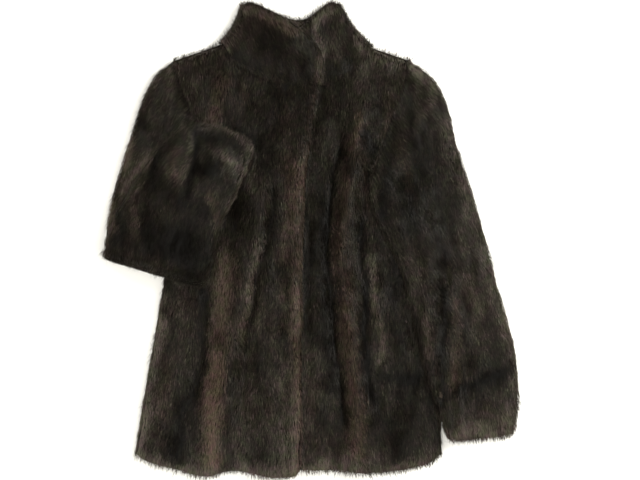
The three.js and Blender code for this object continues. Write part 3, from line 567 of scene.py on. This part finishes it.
# %% Hair measures
HAIR_LENGTH = 12.5 * MM
LENGTHS = (0.72, 1.25)  # the shortest and longest hair, as shares of that
HAIR_WIDTH = 0.65 * MM
WIDTHS = (0.6, 1.35)
ROOT_TILT = math.radians(34)
TIP_TILT = math.radians(7)
ROLL = 0.45  # radians that a blade is turned about its own length, up or down
SOFTNESS = 0.7  # how much a hair's shading follows the pelt under it
SHADED_UP = 0.35  # and how far it looks up at least
LOWEST = 0.4 * MM  # no hair dips under the surface that the coat lies on

# %% [markdown]
# ## Seams and edges
# Three places would look bald or hard if all hair lay the same way. Beside a seam the hair starts a little
# before its own piece and covers the seam. Near an edge that it would flow away from, as at the shoulders
# and the fold of the elbow, it parts and lies over the edge. Past the outline each hair is shortened by
# chance, and some hairs stand away, which gives the soft rim of real fur.

# %% Measures at seams and edges
SEAM_COVER = 5 * MM
PARTING = 9 * MM  # hair parts this near to an edge that it flows away from
STEP = 10 * MM  # a drop deeper than this is an edge
PARTED_TILT = 0.25  # radians that parted hair stands up more
FRINGE = (0.25, 0.95)  # share of its length that hair keeps, and adds at most, past the outline
RIM_SINK = 2.6 * MM  # at the coat's edges the hair starts deeper, so that no floor shows between roots
RIM_FLARE = 0.6  # radians that a hair may stand away further at the coat's edges
RIM_FINENESS = 0.35  # how much thinner the hair is there
RIM_START = 1.5  # how soon a surface that turns away from straight up counts as an edge
UNDERSIDE = 0.55  # hair ends where the surface looks down by more than this
OPEN_SHARE = 0.6  # a triangle has hair if its corners are open by more than this on average


def unit(vectors):
    return vectors / np.maximum(np.linalg.norm(vectors, axis=1), 1e-12)[:, None]


def overhangs(points, drop=1.0):
    """True where a point has no coat under it within a drop in metres."""
    return np.array([WHOLE_COAT.ray_cast(Vector(point), -UP, drop)[0] is None for point in points])


# %% Where the hair grows
SEAM_FILLED = 0.85  # share by which hair beside a seam stands as if there were no hollow
SEAM_WALL = 0.3  # a face inside a seam that looks up by less than this has no hair
UNDERSIDE_FADE = 4  # how quickly hair ends towards the underside
STEEP_EXTRA = 0.5  # how much denser hair is on upright walls, which show from above only as a rim


def roots_on(node, count, rng):
    """Random places on the open side of a pelt, the normal there, how near a seam is, and the area."""
    mesh = PELTS[node].data
    corners, normals = mesh_arrays(mesh)
    normals[:, :2] *= (1 - SEAM_FILLED * SEWN[node])[:, None]
    mesh.calc_loop_triangles()
    triangles = np.empty(len(mesh.loop_triangles) * 3, dtype=int)
    mesh.loop_triangles.foreach_get("vertices", triangles)
    triangles = triangles.reshape(-1, 3)
    a, b, c = (corners[triangles[:, k]] for k in range(3))
    cross = np.cross(b - a, c - a)
    facing = unit(cross)
    in_seam = (SEWN[node][triangles].min(axis=1) > 0) & (facing[:, 2] < SEAM_WALL)
    is_open = BARE[node][triangles].mean(axis=1) > OPEN_SHARE
    weight = np.linalg.norm(cross, axis=1) / 2 * is_open * ~in_seam
    weight *= np.clip((facing[:, 2] + UNDERSIDE) * UNDERSIDE_FADE, 0, 1)
    weight *= 1 + STEEP_EXTRA * (1 - np.abs(facing[:, 2]))
    furred = weight.sum()
    picked = rng.choice(len(weight), count, p=weight / furred)
    u, v = rng.random(count), rng.random(count)
    u, v = np.where(u + v > 1, 1 - u, u), np.where(u + v > 1, 1 - v, v)
    mix = lambda values: (values[triangles[picked, 0]] * (1 - u - v)[:, None]
                          + values[triangles[picked, 1]] * u[:, None]
                          + values[triangles[picked, 2]] * v[:, None])
    return mix(corners), unit(mix(normals)), mix(SEWN[node][:, None])[:, 0], furred


# %% Dents and swirls
DENTS = ((24, 0.34), (10, 0.22))  # mm across, and how much they lean the hair
DENT_STRETCH = (2.5, 1.3)  # how much longer than wide they are, sideways leaning and lengthwise leaning
SWIRLS = ((1, 34, 0.20), (2, 11, 0.16))  # seed, mm across, and radians that they turn the hair
STRAY_TURN = 0.10  # radians that single hairs turn by chance


def dented(root, normal, seed):
    """The normals, leaned over in soft dents as where fur was stroked."""
    for size, slope in DENTS:
        sway = [slope * patches(root, size, seed + size + k, stretch) for k, stretch in enumerate(DENT_STRETCH)]
        normal = unit(normal + np.stack([*sway, np.zeros(len(root))], axis=1))
    return normal


def way_of_hair(node, root, seed, rng):
    """The way that each hair lies, and whether it parts from the others at an edge."""
    turn = sum(amount * patches(root, size, seed + own) for own, size, amount in SWIRLS)
    turn = turn + rng.normal(0, STRAY_TURN, len(root))
    lie = FLOWS[node](root)
    lie = np.stack([lie[:, 0] * np.cos(turn) - lie[:, 1] * np.sin(turn),
                    lie[:, 0] * np.sin(turn) + lie[:, 1] * np.cos(turn), lie[:, 2]], axis=1)
    parted = overhangs(root - lie * rng.uniform(0, PARTING, len(root))[:, None], STEP)
    return np.where(parted[:, None], -lie, lie), parted


# %% How light and how warm each hair is
STRAY = 2.5 * MM  # a hair may have the colour of a place this far away, so that no line has a hard border
WAVER = 4 * MM
WAVER_SIZE = 28  # mm across the patches in which a line wavers by up to that much
LINE_PATCHES = (26, 2, 0.35)  # mm across, stretch and amount: the lines come and go along their way
BASE_LIGHT = 0.405
LIGHT_PATCHES = ((5, 20, 4, 0.15), (6, 11, 2, 0.10), (10, 60, 1, 0.10))  # seed, mm across, stretch, amount
# painted light: hair at the coat's edges is coloured this much lighter
PAINTED_RIM_LIGHT = 0.18
STRAY_LIGHT = 0.15
BASE_WARMTH = 0.22
LINE_WARMTH = 0.8
WARM_PATCHES = (60, 0.16)  # mm across, amount
MIDDLE_MARK = 0.55  # how far along the hair its widest place is, as the material reads it
RIM_ROOT_MARK = 0.35  # roots at an edge stand in less shade


def lines_at(node, root, seed, rng):
    """What the chalked lines say for each hair: how much lighter it is, by its own colour and by painted light
    and shade, and how warm.
    """
    count = len(root)
    aside = np.stack([rng.normal(0, STRAY, count) + WAVER * patches(root, WAVER_SIZE, seed + 8),
                      rng.normal(0, STRAY, count), np.zeros(count)], axis=1)
    _, tone_and_painted_light, warm = read_lines(node, root + aside)
    size, stretch, amount = LINE_PATCHES
    return tone_and_painted_light * (1 + amount * patches(root, size, seed + 9, stretch)), warm


def marks_of_hair(root, rim, tone_and_painted_light, warm, seed, rng):
    """What the material reads at each corner: how far along the hair, how light and how warm."""
    light = BASE_LIGHT + tone_and_painted_light
    for own, size, stretch, amount in LIGHT_PATCHES:
        light = light + amount * patches(root, size, seed + own, stretch)
    # painted light along the coat's edges
    light += PAINTED_RIM_LIGHT * rim
    size, amount = WARM_PATCHES
    warmth = LINE_WARMTH * warm + BASE_WARMTH + amount * patches(root, size, seed + 7)
    marks = np.ones((len(root), 4, 4))
    marks[:, :, 0] = [0, MIDDLE_MARK, MIDDLE_MARK, 1]
    marks[:, 0, 0] = RIM_ROOT_MARK * rim
    marks[:, :, 1] = np.clip(light + rng.normal(0, STRAY_LIGHT, len(root)), 0, 1)[:, None]
    marks[:, :, 2] = np.clip(warmth, 0, 1)[:, None]
    return marks


# %% Growing the hair of one piece
QUICK_THINNING = 3
LENGTH_PATCHES = (20, 0.10)  # mm across, and the share by which hair is longer or shorter there
TILT_PATCHES = (26, 0.10)  # mm across, and radians that hair stands up more or less there
STRAY_TILT = 0.06  # radians by which single hairs stand up more or less
UPHILL_SHORTER = 0.55  # how much shorter hair is where it runs into a slope
DOWNHILL_FLATTER = 0.3  # radians that it lies flatter where it runs down one


def grow_hair(node, count, seed):
    if not FULL_COAT:
        count //= QUICK_THINNING
    rng = np.random.default_rng(seed)
    root, normal, seam, furred = roots_on(node, count, rng)
    rim = np.clip(1 - RIM_START * normal[:, 2], 0, 1)
    root -= normal * (RIM_SINK * rim)[:, None]
    tone_and_painted_light, warm = lines_at(node, root, seed, rng)
    normal = dented(root, normal, seed)
    lie, parted = way_of_hair(node, root, seed, rng)
    root -= lie * (SEAM_COVER * seam * ~parted)[:, None]
    # Hair that would run into a slope lies along it instead, and is shorter there.
    into = (lie * normal).sum(axis=1)[:, None]
    rising = np.array([[0, 0, 1.0]]) - normal * normal[:, 2:3]
    lie = unit(lie - normal * into - rising * into)
    length = HAIR_LENGTH * rng.uniform(*LENGTHS, count) * (1 - UPHILL_SHORTER * np.clip(into[:, 0], 0, 1))
    length *= 1 + LENGTH_PATCHES[1] * patches(root, LENGTH_PATCHES[0], seed + 3)
    width = HAIR_WIDTH * rng.uniform(*WIDTHS, count) * (1 - RIM_FINENESS * rim)
    tilt = TILT_PATCHES[1] * patches(root, TILT_PATCHES[0], seed + 4) + rng.normal(0, STRAY_TILT, count)
    tilt += rim * RIM_FLARE * rng.random(count) ** 4 + PARTED_TILT * parted
    tilt -= DOWNHILL_FLATTER * (1 - rim) * np.clip(-into[:, 0], 0, 1)
    bend = [(length / 2)[:, None] * (lie * np.cos(t)[:, None] + normal * np.sin(t)[:, None])
            for t in (ROOT_TILT + tilt, TIP_TILT + tilt)]
    kept = FRINGE[0] + FRINGE[1] * rng.random(count) ** 2
    trim = np.where(overhangs(root + bend[0] + bend[1]), kept, 1)[:, None]
    middle = root + bend[0] * trim
    tip = middle + bend[1] * trim
    # The blade is as wide as the hair at its middle, and its shading is a mix of its own and the pelt's.
    roll = rng.normal(0, ROLL, count)[:, None]
    flat = unit(np.cross(lie, normal))
    half = (flat * np.cos(roll) + normal * np.sin(roll)) * (width / 2)[:, None]
    own = unit(np.cross(half, tip - root))
    turned = np.where(own[:, 2] < 0, -1, 1)[:, None]
    half, own = half * turned, own * turned
    corners = np.stack([root, middle + half, middle - half, tip], axis=1).reshape(-1, 3)
    corners[:, 2] = np.maximum(corners[:, 2], LOWEST)
    faces = (np.arange(count) * 4)[:, None] + np.array([[0, 1, 2, 1, 3, 2]])
    shading = unit(own * (1 - SOFTNESS) + normal * SOFTNESS)
    shading[:, 2] = np.maximum(shading[:, 2], SHADED_UP)
    marks = marks_of_hair(root, rim, tone_and_painted_light, warm, seed, rng)
    print(node, "hairs:", count, "per square centimetre:", round(count / furred / 1e4))
    return hair_object(node + "_fur", corners, faces.ravel(), np.repeat(unit(shading), 4, axis=0), marks)


def hair_object(name, corners, loops, shading, marks):
    mesh = bpy.data.meshes.new(name)
    mesh.vertices.add(len(corners))
    mesh.vertices.foreach_set("co", corners.ravel())
    mesh.loops.add(len(loops))
    mesh.loops.foreach_set("vertex_index", loops)
    mesh.polygons.add(len(loops) // 3)
    mesh.polygons.foreach_set("loop_start", np.arange(0, len(loops), 3))
    mesh.update(calc_edges=True)
    mesh.validate()
    mesh.polygons.foreach_set("use_smooth", np.ones(len(mesh.polygons), dtype=bool))
    mesh.normals_split_custom_set_from_vertices(shading)
    layer = mesh.color_attributes.new("hair", "FLOAT_COLOR", "POINT")
    layer.data.foreach_set("color", marks.ravel())
    hair = bpy.data.objects.new(name, mesh)
    bpy.context.scene.collection.objects.link(hair)
    return hair


# %% The coat's hair
HAIR_COUNTS = {"back": 16000, "left_front": 92000, "right_front": 94000, "left_sleeve": 76000,
               "right_sleeve": 76000, "collar": 30000}
SEED_STEP = 100
FUR = {node: grow_hair(node, count, SEED_STEP * k) for k, (node, count) in enumerate(HAIR_COUNTS.items())}

# %% [markdown]
# ## The finish of hair and leather
# Dark fur takes most of its light in its tips. The roots stand in each other's shade, and that shade is
# painted: their colour darkens to nearly black. The marks stored on each hair say how far along it a
# point is, how light the hair is and how warm, and two colour ramps turn that into browns: one grey, one
# red. Clouds of a faint green and mauve lie over both. Where the coat lies on the table its hair is
# pressed flat, so there the pelt itself gets the look of hair, and no hidden blades are needed.

# %% Tools for materials
def new_material(name, roughness, gloss):
    material = bpy.data.materials.new(name)
    material.use_nodes = True
    shader = material.node_tree.nodes["Principled BSDF"]
    shader.inputs["Roughness"].default_value = roughness
    shader.inputs["Specular IOR Level"].default_value = gloss
    return material, material.node_tree, shader


def ramp(tree, value, stops):
    node = tree.nodes.new("ShaderNodeValToRGB")
    while len(node.color_ramp.elements) < len(stops):
        node.color_ramp.elements.new(0.5)
    for element, (at, colour) in zip(node.color_ramp.elements, stops):
        element.position = at
        element.color = (*colour, 1)
    tree.links.new(value, node.inputs["Fac"])
    return node.outputs["Color"]


def mixed(tree, how, amount, first, second):
    node = tree.nodes.new("ShaderNodeMix")
    node.data_type = "RGBA"
    node.blend_type = how
    for socket, value in ((node.inputs["Factor"], amount), (node.inputs["A"], first),
                          (node.inputs["B"], second)):
        if isinstance(value, bpy.types.NodeSocket):
            tree.links.new(value, socket)
        else:
            socket.default_value = value
    return node.outputs["Result"]


def noise(tree, place, scale, detail):
    node = tree.nodes.new("ShaderNodeTexNoise")
    node.inputs["Scale"].default_value = scale
    node.inputs["Detail"].default_value = detail
    tree.links.new(place, node.inputs["Vector"])
    return node


# %% Guard hair
GREY_BROWN = [(0, (0.0015, 0.0013, 0.0009)), (0.4, (0.011, 0.0100, 0.0070)),
              (0.7, (0.035, 0.032, 0.0250)), (1, (0.11, 0.10, 0.084))]
RED_BROWN = [(0, (0.003, 0.0019, 0.0012)), (0.4, (0.0155, 0.0105, 0.0073)),
             (0.7, (0.046, 0.0315, 0.0230)), (1, (0.115, 0.082, 0.062))]
# painted shade: the hair is coloured darker towards its root, for the shade the roots stand in
ROOT_SHADE_TO_TIP = [(0, (0.25,) * 3), (0.5, (0.75,) * 3), (1, (1, 1, 1))]
MAUVE_TO_GREEN = [(0.38, (1.0, 0.84, 0.99)), (0.62, (0.87, 1.0, 0.82))]
CLOUD_SCALE = 70  # clouds in a metre


def hair_material():
    material, tree, shader = new_material("guard hair", 0.45, 0.07)
    shader.inputs["Sheen Weight"].default_value = 0.10
    shader.inputs["Sheen Roughness"].default_value = 0.4
    shader.inputs["Sheen Tint"].default_value = (0.80, 0.66, 0.54, 1)
    marks = tree.nodes.new("ShaderNodeVertexColor")
    marks.layer_name = "hair"
    split = tree.nodes.new("ShaderNodeSeparateColor")
    tree.links.new(marks.outputs["Color"], split.inputs["Color"])
    along, light, warm = (split.outputs[name] for name in ("Red", "Green", "Blue"))
    brown = mixed(tree, "MIX", warm, ramp(tree, light, GREY_BROWN), ramp(tree, light, RED_BROWN))
    place = tree.nodes.new("ShaderNodeTexCoord").outputs["Object"]
    clouds = noise(tree, place, CLOUD_SCALE, 4)
    clouds.inputs["Roughness"].default_value = 0.65
    tinted = mixed(tree, "MULTIPLY", 1.0, brown, ramp(tree, clouds.outputs["Fac"], MAUVE_TO_GREEN))
    # painted shade at the roots
    shaded = mixed(tree, "MULTIPLY", 1.0, tinted, ramp(tree, along, ROOT_SHADE_TO_TIP))
    tree.links.new(shaded, shader.inputs["Base Color"])
    return material


GUARD_HAIR = hair_material()


# %% Underfur and pressed hair
STREAKS = (900, 90, 900)  # streaks in a metre across the coat, along it and through it


def streaked_material(name, dark, light):
    """Short hair that lies close, streaked along the coat."""
    material, tree, shader = new_material(name, 0.8, 0.06)
    mapping = tree.nodes.new("ShaderNodeMapping")
    mapping.inputs["Scale"].default_value = STREAKS
    tree.links.new(tree.nodes.new("ShaderNodeTexCoord").outputs["Object"], mapping.inputs["Vector"])
    streaks = noise(tree, mapping.outputs["Vector"], 1, 3)
    colour = ramp(tree, streaks.outputs["Fac"], [(0.3, dark), (0.7, light)])
    tree.links.new(colour, shader.inputs["Base Color"])
    bump = tree.nodes.new("ShaderNodeBump")
    bump.inputs["Strength"].default_value = 0.6
    bump.inputs["Distance"].default_value = 0.001
    tree.links.new(streaks.outputs["Fac"], bump.inputs["Height"])
    tree.links.new(bump.outputs["Normal"], shader.inputs["Normal"])
    return material


UNDERFUR = streaked_material("underfur", (0.003, 0.0024, 0.002), (0.014, 0.010, 0.0075))
PRESSED_HAIR = streaked_material("pressed hair", (0.010, 0.0085, 0.0065), (0.046, 0.036, 0.028))
print("finishes:", [material.name for material in (GUARD_HAIR, UNDERFUR, PRESSED_HAIR)])

# %% [markdown]
# ## Dressing the frame
# Every pelt stands for its imported piece and carries its hair.

# %% Every piece in its place
ON_TABLE = -0.5  # a face that looks down by more than this has pressed hair
for node, pelt in PELTS.items():
    pelt.data.materials.clear()
    pelt.data.materials.append(UNDERFUR)
    pelt.data.materials.append(PRESSED_HAIR)
    for face in pelt.data.polygons:
        face.material_index = int(face.normal.z < ON_TABLE)
    FUR[node].data.materials.append(GUARD_HAIR)
    for piece in (pelt, FUR[node]):
        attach(piece, "root")
    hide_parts(node)

# %% [markdown]
# ## Floor, light and camera
# The photograph is taken from straight above on white paper. Soft light comes from all round, a large
# lamp above evens it out, and a smaller one at the upper right makes the faint shadow to the lower left.
# A weak lamp at the lower left keeps that shadow soft.

# %% Floor
FLOOR_SIZE = 6
bpy.ops.object.select_all(action="DESELECT")
bpy.ops.mesh.primitive_plane_add(size=FLOOR_SIZE, location=(0, 0, -0.5 * MM))
floor = bpy.context.active_object
floor.name = "paper_floor"
paper, _, paper_shader = new_material("white paper", 0.9, 0.2)
paper_shader.inputs["Base Color"].default_value = (0.92, 0.92, 0.915, 1)
floor.data.materials.append(paper)


# %% Lights
WARM_WHITE = (1, 0.975, 0.90)
LIGHT_ALL_ROUND = 0.72


def soft_light(name, place, size, power):
    """A square lamp that looks at the middle of the coat."""
    bpy.ops.object.light_add(type="AREA", location=place)
    light = bpy.context.active_object
    light.name = name
    light.data.size = size
    light.data.energy = power
    light.data.color = WARM_WHITE
    light.rotation_euler = (-Vector(place)).to_track_quat("-Z", "Y").to_euler()


soft_light("key", (1.5, 0.7, 1.5), 0.8, 58)
soft_light("overhead", (0, -0.8, 2.4), 1.6, 34)
soft_light("side_fill", (-1.4, -0.6, 1.2), 1.2, 9)
world = bpy.data.worlds.new("studio")
world.use_nodes = True
world.node_tree.nodes["Background"].inputs["Color"].default_value = (*WARM_WHITE, 1)
world.node_tree.nodes["Background"].inputs["Strength"].default_value = LIGHT_ALL_ROUND
bpy.context.scene.world = world
bpy.context.scene.view_settings.view_transform = "Standard"

# %% Camera
FRAME_WIDTH = 0.992  # metres that the picture takes in from side to side
COAT_TOP = 0.014  # metres, the height at which it does
LENS, SENSOR = 85, 36
bpy.ops.object.camera_add(location=(0.0131, -0.0011, COAT_TOP + FRAME_WIDTH * LENS / SENSOR))
camera = bpy.context.active_object
camera.data.lens = LENS
camera.data.sensor_width = SENSOR
bpy.context.scene.camera = camera
